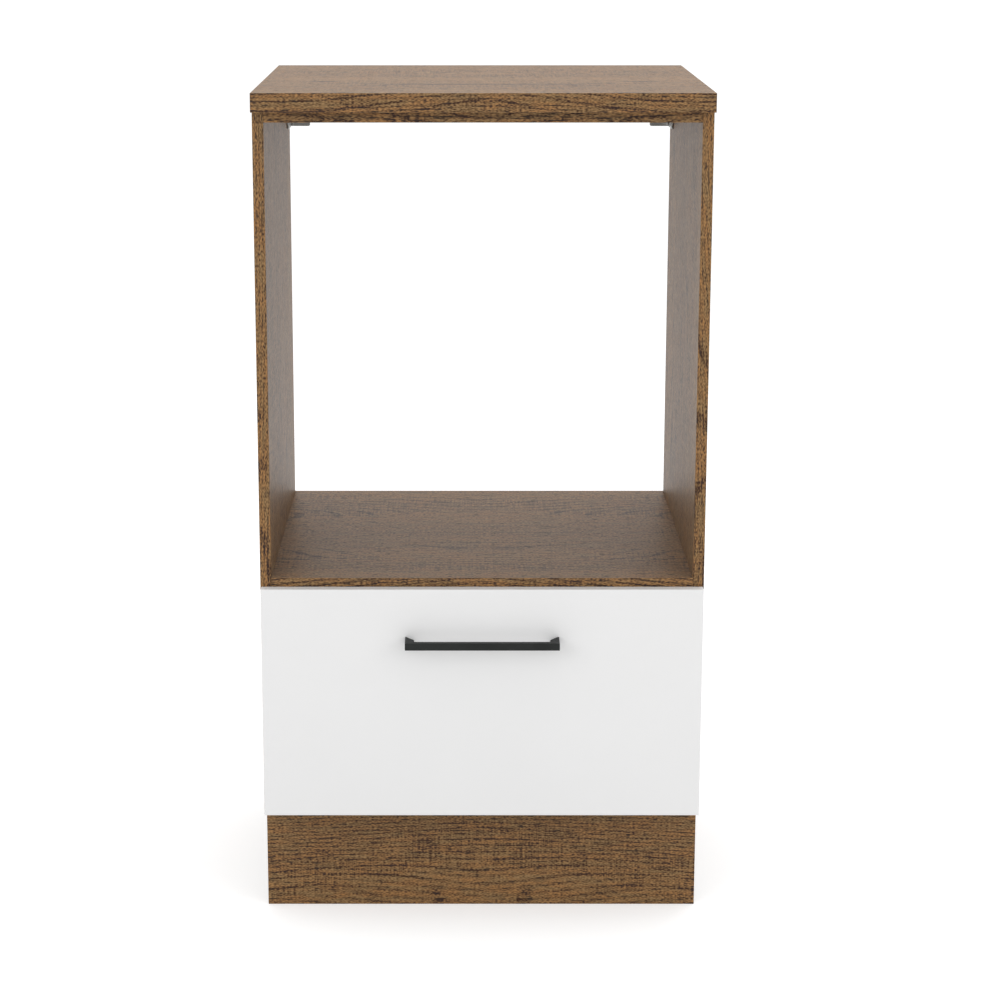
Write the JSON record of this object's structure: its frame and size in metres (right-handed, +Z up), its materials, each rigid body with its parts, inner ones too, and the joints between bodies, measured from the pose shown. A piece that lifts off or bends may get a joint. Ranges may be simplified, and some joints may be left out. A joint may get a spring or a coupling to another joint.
{
  "type": "oven base cabinet",
  "caption": "Oven base cabinet with worktop, open niche for a built-in oven, full-extension drawer on ball runners, adjustable legs and clip-on plinth.",
  "frame": {"origin": "on the floor, at the middle of the object's overall box", "axes": "+Z up, +X across the width to the right seen from the front, the front faces -Y"},
  "size_m": [0.6, 0.5486, 1.141],
  "materials": {
    "oak_board": "melamine-faced chipboard with a dark rustic oak print, fine matt pore texture",
    "worktop_oak": "laminated chipboard worktop in the same oak decor",
    "white_front": "white satin front on chipboard",
    "white_board": "white melamine-faced chipboard",
    "hardboard": "thin hardboard, white on the seen face",
    "black_handle": "matt black powder coat on die-cast metal",
    "black_plastic": "moulded, lightly textured",
    "clear_rubber": "soft translucent dots",
    "beech": "bare turned beech",
    "zinc_alloy": "die-cast zinc, dull",
    "plated_steel": "zinc-plated pressed steel",
    "steel_ball": "polished bearing steel",
    "screw_steel": "zinc-plated screws"
  },
  "bodies": {
    "cabinet": {"worktop": "worktop_oak", "side_left": "oak_board", "side_right": "oak_board", "top_rail_front": "oak_board", "top_rail_rear": "oak_board", "oven_shelf": "oak_board", "bottom_panel": "oak_board", "back_panel": "hardboard", "plinth_board": "oak_board", "plinth_clips": "black_plastic", "plinth_clip_screws": "screw_steel", "leg_sockets": "black_plastic", "leg_socket_screws": "screw_steel", "leg_posts": "black_plastic", "leg_feet": "black_plastic", "cam_locks": "zinc_alloy", "cam_bolts": "plated_steel", "dowels": "beech", "worktop_screws": "screw_steel", "wall_bracket_left": "plated_steel", "wall_bracket_right": "plated_steel", "wall_bracket_screws": "screw_steel", "runner_outer_left": "plated_steel", "runner_outer_right": "plated_steel", "runner_cabinet_screws": "screw_steel"},
    "drawer": {"drawer_front": "white_front", "drawer_side_left": "white_board", "drawer_side_right": "white_board", "drawer_back": "white_board", "drawer_bottom": "hardboard", "runner_inner_left": "plated_steel", "runner_inner_right": "plated_steel", "runner_drawer_screws": "screw_steel", "drawer_cam_locks": "zinc_alloy", "drawer_cam_bolts": "plated_steel", "drawer_dowels": "beech", "drawer_back_screws": "screw_steel", "drawer_bottom_screws": "screw_steel", "handle": "black_handle", "handle_screws": "screw_steel", "front_bumpers": "clear_rubber"},
    "runner_middle_left_body": {"runner_middle_left": "plated_steel"},
    "outer_cage_left_body": {"outer_cage_left": "plated_steel", "outer_balls_left": "steel_ball"},
    "inner_cage_left_body": {"inner_cage_left": "plated_steel", "inner_balls_left": "steel_ball"},
    "runner_middle_right_body": {"runner_middle_right": "plated_steel"},
    "outer_cage_right_body": {"outer_cage_right": "plated_steel", "outer_balls_right": "steel_ball"},
    "inner_cage_right_body": {"inner_cage_right": "plated_steel", "inner_balls_right": "steel_ball"}
  },
  "joints": [
    {"name": "drawer_slide", "type": "slide", "parent": "cabinet", "child": "drawer", "axis": [0, -1, 0], "range_m": [0, 0.45]},
    {"name": "runner_middle_left_slide", "type": "slide", "parent": "cabinet", "child": "runner_middle_left_body", "axis": [0, -1, 0], "range_m": [0, 0.225]},
    {"name": "outer_cage_left_slide", "type": "slide", "parent": "cabinet", "child": "outer_cage_left_body", "axis": [0, -1, 0], "range_m": [0, 0.1125]},
    {"name": "inner_cage_left_slide", "type": "slide", "parent": "cabinet", "child": "inner_cage_left_body", "axis": [0, -1, 0], "range_m": [0, 0.3375]},
    {"name": "runner_middle_right_slide", "type": "slide", "parent": "cabinet", "child": "runner_middle_right_body", "axis": [0, -1, 0], "range_m": [0, 0.225]},
    {"name": "outer_cage_right_slide", "type": "slide", "parent": "cabinet", "child": "outer_cage_right_body", "axis": [0, -1, 0], "range_m": [0, 0.1125]},
    {"name": "inner_cage_right_slide", "type": "slide", "parent": "cabinet", "child": "inner_cage_right_body", "axis": [0, -1, 0], "range_m": [0, 0.3375]}
  ],
  "couplings": [
    {"joint": "runner_middle_left_slide", "follows": "drawer_slide", "ratio": 0.5},
    {"joint": "outer_cage_left_slide", "follows": "drawer_slide", "ratio": 0.25},
    {"joint": "inner_cage_left_slide", "follows": "drawer_slide", "ratio": 0.75},
    {"joint": "runner_middle_right_slide", "follows": "drawer_slide", "ratio": 0.5},
    {"joint": "outer_cage_right_slide", "follows": "drawer_slide", "ratio": 0.25},
    {"joint": "inner_cage_right_slide", "follows": "drawer_slide", "ratio": 0.75}
  ]
}
